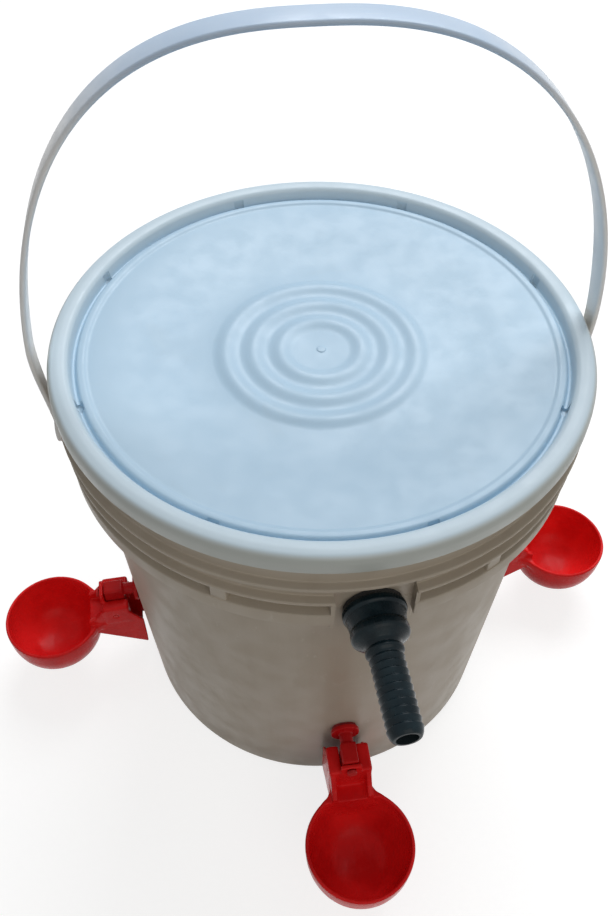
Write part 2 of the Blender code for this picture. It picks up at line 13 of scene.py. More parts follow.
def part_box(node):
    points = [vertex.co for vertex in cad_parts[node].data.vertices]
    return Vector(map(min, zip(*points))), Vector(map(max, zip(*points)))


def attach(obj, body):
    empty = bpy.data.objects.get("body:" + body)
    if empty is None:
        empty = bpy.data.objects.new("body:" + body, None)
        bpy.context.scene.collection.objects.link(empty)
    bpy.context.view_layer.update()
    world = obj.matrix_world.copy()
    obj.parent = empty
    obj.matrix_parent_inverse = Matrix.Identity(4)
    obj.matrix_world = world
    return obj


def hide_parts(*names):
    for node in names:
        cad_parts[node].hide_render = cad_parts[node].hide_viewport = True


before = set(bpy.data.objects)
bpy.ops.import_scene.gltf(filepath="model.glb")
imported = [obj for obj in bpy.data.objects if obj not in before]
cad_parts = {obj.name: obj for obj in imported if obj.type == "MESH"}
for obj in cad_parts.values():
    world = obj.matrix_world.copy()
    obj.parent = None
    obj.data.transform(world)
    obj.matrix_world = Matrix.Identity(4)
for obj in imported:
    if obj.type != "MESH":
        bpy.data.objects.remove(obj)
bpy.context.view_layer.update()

# The photograph's frame and the camera that fits it
PHOTO_HEIGHT = 916
FOCAL_PIXELS = 894.08
CAMERA_PLACE = Vector((-0.0612, -0.3657, 0.63935))
CAMERA_YAW = 0.1441
CAMERA_PITCH = 0.8705
CAMERA_ROLL = 0.0100

# Clearance between pieces that fit into each other
GAP = 0.0003

# Pail and lid, from the CAD model's own boxes and its driving dimensions
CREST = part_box("lid")[1].z
LID_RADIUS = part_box("lid")[1].x
WALL = 0.0022
FOOT_RADIUS = 0.1263
SHOULDER_RADIUS = 0.1372
CORNER_Z = 0.0075
SHOULDER_Z = 0.2440
NOTCH_AZIMUTH = 14.4
NOTCH_COUNT = 8
NOTCH_IN = 0.1341
NOTCH_OUT = 0.1387
NOTCH_HALF_WIDTH = 0.0032
NOTCH_LOW = CREST - 0.0096
NOTCH_TOP = CREST - 0.0030
GUSSET_AZIMUTHS = (-118.5, -61.5, 61.5, 118.5)
GUSSET_IN = 0.1395
GUSSET_OUT = 0.1474
GUSSET_HALF_WIDTH = 0.0045
GUSSET_LOW = 0.2545
SKIRT_END_IN = 0.1392
SKIRT_END_OUT = 0.1462
SKIRT_LOW = 0.2449
SKIRT_TOP = 0.2660
PANEL_Z = CREST - 0.0065
PANEL_RADIUS = 0.1290
PANEL_THICKNESS = 0.0020
DISH_DEPTH = 0.0068
DISH_FLAT = 0.0660
RING_START = 0.0151
RING_PITCH = 0.0155
RING_HEIGHT = 0.0019
RING_COUNT = 3
RIM_START = 0.1370

# Places round the pail, in degrees about +Z
CUP_AZIMUTHS = {"front": -90.0, "right": 3.0, "rear": 92.0, "left": -178.0}
INLET_AZIMUTH = -87.7
BAIL_AZIMUTH = -1.0

# Bail
BAIL_Z = 0.2503
BAIL_HALF_WIDTH = 0.158
BAIL_PINCH = 0.0045
PINCH_HEIGHT = 0.065
BAIL_RISE = 0.228
BAIL_START = 0.006
BAIL_SQUARENESS = 0.785
STRAP_WIDTH = 0.016
STRAP_END_WIDTH = 0.008
TAPER_HEIGHT = 0.100
STRAP_THICKNESS = 0.0030
LEG_SWAY = 0.0018
LEG_HEIGHT = 0.060
ARCH_SWAY = 0.0055
EYE_RADIUS = 0.0095
STUD_RADIUS = 0.0046
STUD_START = 0.1450
BAIL_EAR_RADIUS = 0.0135
BAIL_EAR_START = 0.1375
BAIL_EAR_END = 0.1508
EAR_HOLE_ENDS = (0.1435, 0.160)

# Cups
STEM_Z = 0.080
PIN_X = 0.1500
PIN_Z = 0.066
PIN_HOLE = 0.0018
EAR_PIN_ENDS = (-0.016, 0.016)
TONGUE_PIN_ENDS = (-0.012, 0.012)
BOWL_X = 0.1971
RIM_Z = 0.0576
BOWL_RADIUS = 0.0345
BOWL_FLOOR_Z = 0.0170
LAND_BACK = 0.1500
LAND_X = 0.1700
LAND_LOW = 0.0100
LAND_TOP = 0.0800
NECK_START = 0.1572
NECK_END = 0.1760
NECK_LOW = 0.0515
NECK_HALF_WIDTH = 0.0134
RAIL_INSIDE = 0.0098
CHEEK_INSIDE = 0.0120
CHEEK_OUTSIDE = 0.0138
WEB_HALF_WIDTH = 0.0124
YOKE_IN = 0.1565
YOKE_OUT = 0.1593
YOKE_HALF_WIDTH = 0.0068
YOKE_LOW = 0.0500
YOKE_TOP = 0.0845
SLOT_RADIUS = 0.0024
SLOT_ENDS = (0.150, 0.165)
EAR_HALF_WIDTH = 0.0140
EAR_INSIDE = 0.0056
EAR_BACK = 0.1398
EAR_FRONT = 0.1585
EAR_LOW = 0.0565
EAR_TOP = 0.0762
TONGUE_BACK = 0.1420
TONGUE_FRONT = 0.1560
TONGUE_LOW = 0.0605
TONGUE_HALF_WIDTH = 0.0052
TONGUE_TOP = 0.0855
THREAD_RADIUS = 0.0050
CUP_HOLE_ENDS = (0.115, 0.140)
FLANGE_IN = 0.1318
FLANGE_OUT = 0.1346
FLANGE_RADIUS = 0.0092
STEM_RADIUS = 0.0043
STEM_END = 0.1160

# Inlet
INLET_Z = 0.2515
BOSS_IN = 0.1335
BOSS_OUT = 0.1412
BOSS_HALF_WIDTH = 0.0205
BOSS_LOW = INLET_Z - 0.0180
BOSS_HIGH = INLET_Z + 0.0265
POCKET_OUT = 0.1560
TAIL_RADIUS = 0.0100
INLET_HOLE = 0.0108
INLET_HOLE_ENDS = (0.125, 0.150)
HOSE_BORE = 0.0055
HOSE_END = 0.2120
BARB_START = 0.1715
BARB_PITCH = 0.0039
BARB_COUNT = 10
BARB_ROOT = 0.0080
BARB_CREST = 0.0090
BARB_END = 0.0081

# Segments round the turned pieces, and the cell sizes and smoothing rounds of the blended ones
PAIL_STEPS = 192
FITTING_STEPS = 96
BOWL_STEPS = 96
EYE_STEPS = 64
HOLE_STEPS = 48
PIN_STEPS = 32
BOWL_CELL = 0.00055
BOWL_RELAX = 11
HOUSING_CELL = 0.0004
HOUSING_RELAX = 3

# Angles in degrees past which an edge stays sharp
TURNED_SHARP = 35.0
MOULDED_SHARP = 60.0
SOLID_SHARP = 40.0

# Floor
FLOOR_HALF = 4.0
FLOOR_DROP = 0.0002
FLOOR_GLOW = 0.78

# Depth of scratches in a moulded surface
MARK_DEPTH = 0.00004


# Shapes

def rounded(points, radius=0.0006, steps=4):
    """The same outline with each inner corner turned into a short curve."""
    result = [points[0]]
    for before, corner, after in zip(points, points[1:], points[2:]):
        before, corner, after = Vector(before), Vector(corner), Vector(after)
        reach = min(radius, 0.45 * (corner - before).length, 0.45 * (after - corner).length)
        start = corner + (before - corner).normalized() * reach
        end = corner + (after - corner).normalized() * reach
        for i in range(steps + 1):
            t = i / steps
            result.append(tuple(start * (1 - t) ** 2 + corner * 2 * t * (1 - t) + end * t ** 2))
    result.append(points[-1])
    return result


def turned(name, profile, steps, ring=False):
    """A mesh of a profile of (radius, height) points turned about Z; a ring closes on itself."""
    shape = bmesh.new()
    rings = []
    for radius, height in profile:
        if radius < 0.000001:
            rings.append([shape.verts.new((0.0, 0.0, height))])
            continue
        turns = [2 * math.pi * i / steps for i in range(steps)]
        points = [(radius * math.cos(turn), radius * math.sin(turn), height) for turn in turns]
        rings.append([shape.verts.new(point) for point in points])
    pairs = list(zip(rings, rings[1:]))
    if ring:
        pairs.append((rings[-1], rings[0]))
    for upper, lower in pairs:
        for i in range(steps):
            j = (i + 1) % steps
            corners = [upper[i % len(upper)], lower[i % len(lower)]]
            corners += [lower[j % len(lower)], upper[j % len(upper)]]
            corners = list(dict.fromkeys(corners))
            if len(corners) > 2:
                shape.faces.new(corners)
    bmesh.ops.recalc_face_normals(shape, faces=shape.faces)
    return to_mesh(name, shape)


def block(name, low, high, bevel=0.0):
    """A mesh of a box between two corners, with its edges rounded by the bevel's width."""
    shape = bmesh.new()
    bmesh.ops.create_cube(shape, size=1.0)
    bmesh.ops.scale(shape, vec=[b - a for a, b in zip(low, high)], verts=shape.verts)
    bmesh.ops.translate(shape, vec=[(a + b) / 2 for a, b in zip(low, high)], verts=shape.verts)
    if bevel:
        bmesh.ops.bevel(shape, geom=shape.edges[:], offset=bevel, segments=3, affect="EDGES",
                        profile=0.5)
    return to_mesh(name, shape)


def slab(name, outline, low, high):
    """A mesh of a closed outline of x and z points, filled between a low and a high y."""
    shape = bmesh.new()
    near = [shape.verts.new((x, low, z)) for x, z in outline]
    far = [shape.verts.new((x, high, z)) for x, z in outline]
    shape.faces.new(near)
    shape.faces.new(list(reversed(far)))
    for i in range(len(outline)):
        j = (i + 1) % len(outline)
        shape.faces.new((near[i], far[i], far[j], near[j]))
    bmesh.ops.recalc_face_normals(shape, faces=shape.faces)
    return to_mesh(name, shape)


def rod(name, radius, ends, steps, corner=0.0):
    """A mesh of a round rod about Z between two heights, with its corners rounded if asked."""
    low, high = ends
    outline = [(0, high), (radius, high), (radius, low), (0, low)]
    if corner:
        outline = rounded(outline, corner)
    return turned(name, outline, steps)


def to_mesh(name, shape):
    """The finished shape as a mesh."""
    mesh = bpy.data.meshes.new(name)
    shape.to_mesh(mesh)
    shape.free()
    return mesh


def radial_place(z):
    """Lays a shape turned about Z along the x of a cup's or the inlet's frame, at a height."""
    return Matrix.Translation((0, 0, z)) @ Matrix.Rotation(math.pi / 2, 4, "Y")


def across_place(x, z):
    """Lays a shape turned about Z along the y of a cup's frame, through a point."""
    return Matrix.Translation((x, 0, z)) @ Matrix.Rotation(math.pi / 2, 4, "X")


def about_z(degrees):
    """A turn about the pail's axis."""
    return Matrix.Rotation(math.radians(degrees), 4, "Z")


def span(side, inside, outside):
    """The low and the high y of a part that lies between two distances to one side."""
    return sorted((side * inside, side * outside))


def eased(share):
    """A share from 0 to 1 that starts and ends level, and is held between them."""
    share = min(1.0, max(0.0, share))
    return share * share * (3.0 - 2.0 * share)


def temporary(mesh, place=Matrix()):
    """An object that holds a mesh only while another is carved with it."""
    made = bpy.data.objects.new(mesh.name, mesh)
    bpy.context.scene.collection.objects.link(made)
    made.matrix_world = place
    return made


def carved(mesh, steps, cell=0.0, relax=0):
    """The mesh after joining and cutting others, each given as (operation, mesh, place).

    With a cell size the result is one skin whose inner corners are blended.
    """
    base = temporary(mesh)
    others = []
    for operation, other, place in steps:
        others.append(temporary(other, place))
        modifier = base.modifiers.new(operation, "BOOLEAN")
        modifier.operation = operation
        modifier.object = others[-1]
        modifier.solver = "EXACT"
    if cell:
        skin = base.modifiers.new("skin", "REMESH")
        skin.mode = "VOXEL"
        skin.voxel_size = cell
        soften = base.modifiers.new("soften", "SMOOTH")
        soften.factor = 0.5
        soften.iterations = relax
    bpy.context.view_layer.update()
    evaluated = base.evaluated_get(bpy.context.evaluated_depsgraph_get())
    result = bpy.data.meshes.new_from_object(evaluated)
    result.name = mesh.name
    for old in others + [base]:
        bpy.data.objects.remove(old)
    return result


def dress(name, mesh, body, node, slot, place=Matrix(), sharp=TURNED_SHARP):
    """A piece of the dressed model, which rides its body in place of a CAD node."""
    piece = bpy.data.objects.new(name, mesh)
    bpy.context.scene.collection.objects.link(piece)
    piece.matrix_world = place
    mesh.shade_smooth()
    mesh.set_sharp_from_angle(angle=math.radians(sharp))
    mesh.materials.clear()
    mesh.materials.append(looks[slot])
    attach(piece, body)
    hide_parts(node)


# Material nodes

def new_look(name, roughness, metallic=0.0):
    """A new material, with its node tree and its shader."""
    look = bpy.data.materials.new(name)
    look.use_nodes = True
    shader = look.node_tree.nodes["Principled BSDF"]
    shader.inputs["Roughness"].default_value = roughness
    shader.inputs["Metallic"].default_value = metallic
    return look, look.node_tree, shader


def feed(tree, socket, value):
    """Links a node's output to a socket, or sets the socket to a number or a colour."""
    if isinstance(value, bpy.types.NodeSocket):
        tree.links.new(value, socket)
    elif isinstance(value, tuple) and len(value) == 3 and socket.type == "RGBA":
        socket.default_value = (*value, 1.0)
    else:
        socket.default_value = value


def place_of(tree, stretch=(1.0, 1.0, 1.0)):
    """The point on the piece, in its own frame, stretched along its axes."""
    point = tree.nodes.new("ShaderNodeTexCoord").outputs["Object"]
    if stretch == (1.0, 1.0, 1.0):
        return point
    mapping = tree.nodes.new("ShaderNodeMapping")
    mapping.inputs["Scale"].default_value = stretch
    tree.links.new(point, mapping.inputs["Vector"])
    return mapping.outputs["Vector"]


def noise(tree, scale, detail=4.0, roughness=0.55, stretch=(1.0, 1.0, 1.0), distortion=0.0):
    """Smooth noise over the piece, at a scale per metre."""
    node = tree.nodes.new("ShaderNodeTexNoise")
    feed(tree, node.inputs["Vector"], place_of(tree, stretch))
    feed(tree, node.inputs["Scale"], scale)
    feed(tree, node.inputs["Detail"], detail)
    feed(tree, node.inputs["Roughness"], roughness)
    feed(tree, node.inputs["Distortion"], distortion)
    return node.outputs["Fac"]


def spread(tree, value, low, high, to_low=0.0, to_high=1.0):
    """A value's range from low to high, carried over to another range and held inside it."""
    node = tree.nodes.new("ShaderNodeMapRange")
    node.interpolation_type = "SMOOTHSTEP"
    for name, item in (("Value", value), ("From Min", low), ("From Max", high),
                       ("To Min", to_low), ("To Max", to_high)):
        feed(tree, node.inputs[name], item)
    return node.outputs["Result"]


def maths(tree, operation, first, second=0.0):
    node = tree.nodes.new("ShaderNodeMath")
    node.operation = operation
    feed(tree, node.inputs[0], first)
    feed(tree, node.inputs[1], second)
    return node.outputs[0]


def blend(tree, factor, first, second):
    """The first colour where the factor is zero, the second where it is one."""
    node = tree.nodes.new("ShaderNodeMix")
    node.data_type = "RGBA"
    feed(tree, node.inputs[0], factor)
    feed(tree, node.inputs[6], first)
    feed(tree, node.inputs[7], second)
    return node.outputs[2]


def height_of(tree):
    """Height in the piece's own frame."""
    split = tree.nodes.new("ShaderNodeSeparateXYZ")
    tree.links.new(place_of(tree), split.inputs[0])
    return split.outputs["Z"]


def reach_of(tree):
    """Distance from the piece's own Z axis."""
    node = tree.nodes.new("ShaderNodeVectorMath")
    node.operation = "LENGTH"
    tree.links.new(place_of(tree, (1.0, 1.0, 0.0)), node.inputs[0])
    return node.outputs["Value"]


def edges_of(tree, low=0.52, high=0.60):
    """One on sharp outer edges, where a piece is rubbed, and zero elsewhere."""
    return spread(tree, tree.nodes.new("ShaderNodeNewGeometry").outputs["Pointiness"], low, high)


def scuffs(tree, scale=28.0, amount=0.5):
    """Fine short scratches that run every way, in patches."""
    along = spread(tree, noise(tree, scale, 6.0, 0.7, (1.0, 14.0, 1.0)), 0.60, 0.68)
    across = spread(tree, noise(tree, scale, 6.0, 0.7, (14.0, 1.0, 5.0)), 0.61, 0.69)
    patches = spread(tree, noise(tree, 9.0, 2.0), 0.40, 0.66, 0.0, amount)
    return maths(tree, "MULTIPLY", maths(tree, "MAXIMUM", along, across), patches)


def relief(tree, shader, fine_scale, fine_depth, wave_scale, wave_depth, marks=None):
    """Moulded grain and slow waves, in metres of depth, and shallow marks if there are any."""
    fine = maths(tree, "MULTIPLY", noise(tree, fine_scale, 3.0), fine_depth)
    wave = maths(tree, "MULTIPLY", noise(tree, wave_scale, 2.0), wave_depth)
    height = maths(tree, "ADD", fine, wave)
    if marks is not None:
        height = maths(tree, "SUBTRACT", height, maths(tree, "MULTIPLY", marks, MARK_DEPTH))
    bump = tree.nodes.new("ShaderNodeBump")
    bump.inputs["Strength"].default_value = 1.0
    bump.inputs["Distance"].default_value = 1.0
    tree.links.new(height, bump.inputs["Height"])
    tree.links.new(bump.outputs["Normal"], shader.inputs["Normal"])


def mottled(tree, deep, light, scale, detail, low=0.35, high=0.68):
    """Two colours in soft patches."""
    return blend(tree, spread(tree, noise(tree, scale, detail), low, high), deep, light)


def overlaid(tree, colour, mask, share, over):
    """The colour with a share of another laid over it where the mask is one."""
    return blend(tree, maths(tree, "MULTIPLY", mask, share), colour, over)


def vary_roughness(tree, shader, scale, low, high, marks=None, dulling=0.0):
    """Roughness that drifts between two values and is higher along marks."""
    rough = spread(tree, noise(tree, scale, 4.0), 0.3, 0.7, low, high)
    if marks is not None:
        rough = maths(tree, "ADD", rough, maths(tree, "MULTIPLY", marks, dulling))
    tree.links.new(rough, shader.inputs["Roughness"])


# Materials

def pail_look():
    """Natural polyethylene, its off-white darkened to a warm grey as painted shade, mottled, scuffed and
    dusty towards the foot.
    """
    # Both mottled colours are the plastic's off-white darkened and warmed, which is painted shade.
    deep, light, streak = (0.46, 0.402, 0.322), (0.50, 0.442, 0.360), (0.37, 0.31, 0.24)
    dirt, scratch = (0.29, 0.235, 0.175), (0.70, 0.67, 0.62)
    dusty_height = 0.045
    look, tree, shader = new_look("pail_plastic", 0.42)
    colour = mottled(tree, deep, light, scale=7.0, detail=3.0, high=0.65)
    streaks = noise(tree, 3.2, 4.0, 0.6, stretch=(16.0, 16.0, 1.0))
    colour = blend(tree, spread(tree, streaks, 0.45, 0.75, to_high=0.22), colour, streak)
    dust = maths(tree, "MULTIPLY", spread(tree, height_of(tree), dusty_height, 0.0, to_high=0.55),
                 spread(tree, noise(tree, 42.0, 6.0), 0.35, 0.62))
    colour = blend(tree, dust, colour, dirt)
    marks = scuffs(tree, scale=24.0, amount=0.5)
    colour = overlaid(tree, colour, marks, 0.5, scratch)
    tree.links.new(colour, shader.inputs["Base Color"])
    vary_roughness(tree, shader, scale=60.0, low=0.38, high=0.52, marks=marks, dulling=0.2)
    shader.inputs["Specular IOR Level"].default_value = 0.20
    shader.inputs["Subsurface Weight"].default_value = 0.08
    shader.inputs["Subsurface Radius"].default_value = (0.006, 0.005, 0.004)
    relief(tree, shader, fine_scale=900.0, fine_depth=0.000018, wave_scale=26.0, wave_depth=0.00035,
           marks=marks)
    return look


def lid_look():
    """Lid plastic whose pale blue is a painted sky reflection, with a paler rim as a painted highlight
    and a greyer skirt as painted shade, faint stains and rubbed edges.
    """
    # The lid's blues are a painted sky reflection on white plastic.
    deep, light, stain = (0.455, 0.625, 0.760), (0.490, 0.660, 0.790), (0.47, 0.60, 0.69)
    rim_painted_highlight, skirt_painted_shade = (0.60, 0.715, 0.780), (0.50, 0.535, 0.505)
    rubbed, scratch = (0.68, 0.80, 0.88), (0.72, 0.80, 0.85)
    look, tree, shader = new_look("lid_plastic", 0.40)
    colour = mottled(tree, deep, light, scale=9.0, detail=4.0)
    stains = noise(tree, 31.0, 6.0, 0.62, distortion=0.6)
    colour = blend(tree, spread(tree, stains, 0.55, 0.75, to_high=0.22), colour, stain)
    # The rim is paler: a painted highlight on the raised rim.
    rim = spread(tree, reach_of(tree), RIM_START - 0.0020, RIM_START + 0.0020)
    colour = blend(tree, rim, colour, rim_painted_highlight)
    # The skirt is greyer: painted shade on its sideways face.
    skirt = spread(tree, reach_of(tree), LID_RADIUS - 0.0030, LID_RADIUS - 0.0006)
    colour = blend(tree, skirt, colour, skirt_painted_shade)
    colour = overlaid(tree, colour, edges_of(tree), rim, rubbed)
    marks = scuffs(tree, scale=20.0, amount=0.12)
    colour = overlaid(tree, colour, marks, 0.45, scratch)
    tree.links.new(colour, shader.inputs["Base Color"])
    vary_roughness(tree, shader, scale=70.0, low=0.36, high=0.50, marks=marks, dulling=0.2)
    relief(tree, shader, fine_scale=1100.0, fine_depth=0.000015, wave_scale=30.0, wave_depth=0.00012,
           marks=marks)
    return look


def bail_look():
    """Milky strap with a painted blue sky reflection along its top, fading to whiter down its sides, with
    rubbed edges.
    """
    deep, light, side = (0.48, 0.61, 0.76), (0.54, 0.66, 0.80), (0.96, 0.94, 0.90)
    rubbed, scratch = (0.86, 0.88, 0.88), (0.78, 0.80, 0.80)
    look, tree, shader = new_look("bail_plastic", 0.34)
    # The mottled blues are a painted sky reflection along the strap's top.
    colour = mottled(tree, deep, light, scale=14.0, detail=3.0, high=0.65)
    # The painted sky reflection fades out down the sides, where the strap is whiter.
    low = spread(tree, height_of(tree), BAIL_Z + 0.222, BAIL_Z + 0.170, to_high=0.9)
    colour = blend(tree, low, colour, side)
    colour = blend(tree, edges_of(tree), colour, rubbed)
    marks = scuffs(tree, scale=40.0, amount=0.5)
    colour = overlaid(tree, colour, marks, 0.4, scratch)
    tree.links.new(colour, shader.inputs["Base Color"])
    vary_roughness(tree, shader, scale=90.0, low=0.30, high=0.46)
    shader.inputs["Subsurface Weight"].default_value = 0.50
    shader.inputs["Subsurface Radius"].default_value = (0.006, 0.006, 0.006)
    relief(tree, shader, fine_scale=1000.0, fine_depth=0.000012, wave_scale=60.0, wave_depth=0.00012,
           marks=marks)
    return look


def red_look(name, light, deep, roughness):
    """Glossy moulded red, deeper in patches, paler where an edge is rubbed."""
    rubbed, scratch = (0.78, 0.10, 0.10), (0.72, 0.16, 0.15)
    look, tree, shader = new_look(name, roughness)
    colour = mottled(tree, deep, light, scale=38.0, detail=3.0)
    colour = overlaid(tree, colour, edges_of(tree, 0.54, 0.66), 0.35, rubbed)
    marks = scuffs(tree, scale=70.0, amount=0.6)
    colour = overlaid(tree, colour, marks, 0.25, scratch)
    tree.links.new(colour, shader.inputs["Base Color"])
    vary_roughness(tree, shader, scale=160.0, low=roughness - 0.04, high=roughness + 0.08,
                   marks=marks, dulling=0.25)
    shader.inputs["Specular IOR Level"].default_value = 0.08
    relief(tree, shader, fine_scale=1600.0, fine_depth=0.000006, wave_scale=110.0, wave_depth=0.00008,
           marks=marks)
    return look


def black_look():
    """Satin black nylon with a fine grain, dulled by dust."""
    deep, light = (0.0040, 0.0120, 0.0170), (0.010, 0.024, 0.031)
    scratch, rubbed = (0.07, 0.08, 0.09), (0.05, 0.06, 0.065)
    look, tree, shader = new_look("fitting_plastic", 0.38)
    colour = mottled(tree, deep, light, scale=90.0, detail=5.0, low=0.40, high=0.72)
    marks = scuffs(tree, scale=90.0, amount=0.8)
    colour = overlaid(tree, colour, marks, 0.5, scratch)
    colour = overlaid(tree, colour, edges_of(tree), 0.4, rubbed)
    tree.links.new(colour, shader.inputs["Base Color"])
    vary_roughness(tree, shader, scale=240.0, low=0.20, high=0.34)
    shader.inputs["Specular IOR Level"].default_value = 0.15
    relief(tree, shader, fine_scale=1800.0, fine_depth=0.000010, wave_scale=140.0, wave_depth=0.00006,
           marks=marks)
    return look


def rubber_look(name, deep, light):
    """Matte rubber with a fine grain."""
    look, tree, shader = new_look(name, 0.80)
    colour = mottled(tree, deep, light, scale=120.0, detail=5.0, high=0.70)
    tree.links.new(colour, shader.inputs["Base Color"])
    vary_roughness(tree, shader, scale=300.0, low=0.70, high=0.90)
    relief(tree, shader, fine_scale=2200.0, fine_depth=0.000014, wave_scale=200.0, wave_depth=0.00004)
    return look


def steel_look():
    """Plain steel with fine drawn lines round it."""
    deep, light = (0.46, 0.46, 0.45), (0.66, 0.655, 0.64)
    look, tree, shader = new_look("steel", 0.28, 1.0)
    colour = mottled(tree, deep, light, scale=150.0, detail=5.0, high=0.70)
    tree.links.new(colour, shader.inputs["Base Color"])
    lines = noise(tree, 90.0, 5.0, 0.6, stretch=(1.0, 1.0, 18.0))
    tree.links.new(spread(tree, lines, 0.3, 0.7, 0.20, 0.42), shader.inputs["Roughness"])
    relief(tree, shader, fine_scale=2600.0, fine_depth=0.000003, wave_scale=400.0, wave_depth=0.00001)
    return look


def float_look():
    """Matte off-white plastic with faint scuffs."""
    deep, light, scratch = (0.70, 0.70, 0.665), (0.79, 0.79, 0.765), (0.58, 0.56, 0.51)
    look, tree, shader = new_look("float_plastic", 0.45)
    colour = mottled(tree, deep, light, scale=24.0, detail=4.0)
    marks = scuffs(tree, scale=40.0, amount=0.5)
    colour = overlaid(tree, colour, marks, 0.4, scratch)
    tree.links.new(colour, shader.inputs["Base Color"])
    vary_roughness(tree, shader, scale=140.0, low=0.38, high=0.55)
    relief(tree, shader, fine_scale=1400.0, fine_depth=0.000010, wave_scale=60.0, wave_depth=0.0001,
           marks=marks)
    return look


# Pail and lid

def wall_radius(z):
    """Outside radius of the tapered wall at a height."""
    share = (z - CORNER_Z) / (SHOULDER_Z - CORNER_Z)
    return FOOT_RADIUS + (SHOULDER_RADIUS - FOOT_RADIUS) * share


def pail_profile():
    """The pail's section, from the middle of its floor up the inside and down the outside."""
    inside = [
        (0.0, 0.0025), (0.1170, 0.0025), (0.1222, 0.0048), (wall_radius(0.012) - WALL, 0.0120),
        (SHOULDER_RADIUS - WALL, SHOULDER_Z), (0.1367, 0.2560), (0.1397, 0.2646),
        (0.1422, 0.2784), (0.1429, 0.2840), (0.1429, CREST - 0.0042),
    ]
    rim = [
        (0.1448, CREST - 0.0042), (0.1466, CREST - 0.0050), (0.1468, CREST - 0.0072),
        (0.1454, CREST - 0.0087), (0.1452, 0.2818),
    ]
    ribs = [
        (0.1497, 0.2812), (0.1497, 0.2790), (0.1452, 0.2784), (0.1440, 0.2680),
        (0.1488, 0.2674), (0.1488, 0.2652), (0.1430, 0.2646), (0.1400, 0.2560),
    ]
    skirt = [
        (0.1480, 0.2552), (0.1478, 0.2450), (0.1463, 0.2447), (0.1463, 0.2530), (0.1386, 0.2530),
    ]
    outside = [(SHOULDER_RADIUS, SHOULDER_Z), (FOOT_RADIUS, CORNER_Z), (0.1248, 0.0028), (0.1210, 0.0)]
    sole = [
        (0.1000, 0.0), (0.0990, 0.0006), (0.0975, 0.0006), (0.0965, 0.0), (0.0060, 0.0),
        (0.0052, 0.0007), (0.0, 0.0007),
    ]
    return rounded(inside + rim + ribs + skirt + outside + sole, 0.0009, 4)


def inlet_seat(place):
    """Steps that carve the inlet's flat seat: a pocket in the skirt, a boss, a hole and two ends."""
    pocket = block("pocket", (BOSS_OUT, -BOSS_HALF_WIDTH, BOSS_LOW - 0.004),
                   (POCKET_OUT, BOSS_HALF_WIDTH, BOSS_HIGH + 0.0005))
    boss = block("boss", (BOSS_IN, -BOSS_HALF_WIDTH - 0.0010, BOSS_LOW),
                 (BOSS_OUT - 0.0001, BOSS_HALF_WIDTH + 0.0010, BOSS_HIGH), 0.0008)
    hole = rod("inlet_hole", INLET_HOLE, INLET_HOLE_ENDS, EYE_STEPS)
    steps = [
        ("DIFFERENCE", pocket, place),
        ("UNION", boss, place),
        ("DIFFERENCE", hole, place @ radial_place(INLET_Z)),
    ]
    for side in (-1, 1):
        low, high = span(side, BOSS_HALF_WIDTH - 0.0003, BOSS_HALF_WIDTH + 0.0018)
        end = block("skirt_end", (SKIRT_END_IN, low, SKIRT_LOW), (SKIRT_END_OUT, high, SKIRT_TOP))
        steps.append(("UNION", end, place))
    return steps


def make_pail():
    """The pail with its gussets, the inlet's seat, the bail's ears and the four cup holes."""
    gusset = block("gusset", (GUSSET_IN, -GUSSET_HALF_WIDTH, GUSSET_LOW),
                   (GUSSET_OUT, GUSSET_HALF_WIDTH, SKIRT_TOP), 0.0009)
    steps = [("UNION", gusset, about_z(azimuth)) for azimuth in GUSSET_AZIMUTHS]
    steps += inlet_seat(about_z(INLET_AZIMUTH))
    for turn in (0, 180):
        seat = about_z(BAIL_AZIMUTH + turn) @ radial_place(BAIL_Z)
        ear = rod("ear", BAIL_EAR_RADIUS, (BAIL_EAR_START, BAIL_EAR_END), EYE_STEPS, 0.0010)
        hole = rod("ear_hole", STUD_RADIUS + 0.0004, EAR_HOLE_ENDS, HOLE_STEPS)
        steps += [("UNION", ear, seat), ("DIFFERENCE", hole, seat)]
    for azimuth in CUP_AZIMUTHS.values():
        hole = rod("cup_hole", THREAD_RADIUS + GAP, CUP_HOLE_ENDS, HOLE_STEPS)
        steps.append(("DIFFERENCE", hole, about_z(azimuth) @ radial_place(STEM_Z)))
    mesh = carved(turned("drinker_pail", pail_profile(), PAIL_STEPS), steps)
    dress("drinker_pail", mesh, "pail", "pail_body", "pail_plastic")


def lid_rings():
    """Points over the raised rings round the lid's centre."""
    parts = 12
    points = []
    for step in range(RING_COUNT * parts + 1):
        rise = RING_HEIGHT / 2 * (1 - math.cos(2 * math.pi * step / parts))
        points.append((RING_START + RING_PITCH * step / parts, PANEL_Z - DISH_DEPTH + rise))
    return points


def lid_dish(count):
    """Points up the panel's slope, from its flat middle to its edge."""
    points = []
    for i in range(count + 1):
        share = i / count
        height = PANEL_Z - DISH_DEPTH * (1.0 - eased(share))
        points.append((DISH_FLAT + (PANEL_RADIUS - DISH_FLAT) * share, height))
    return points


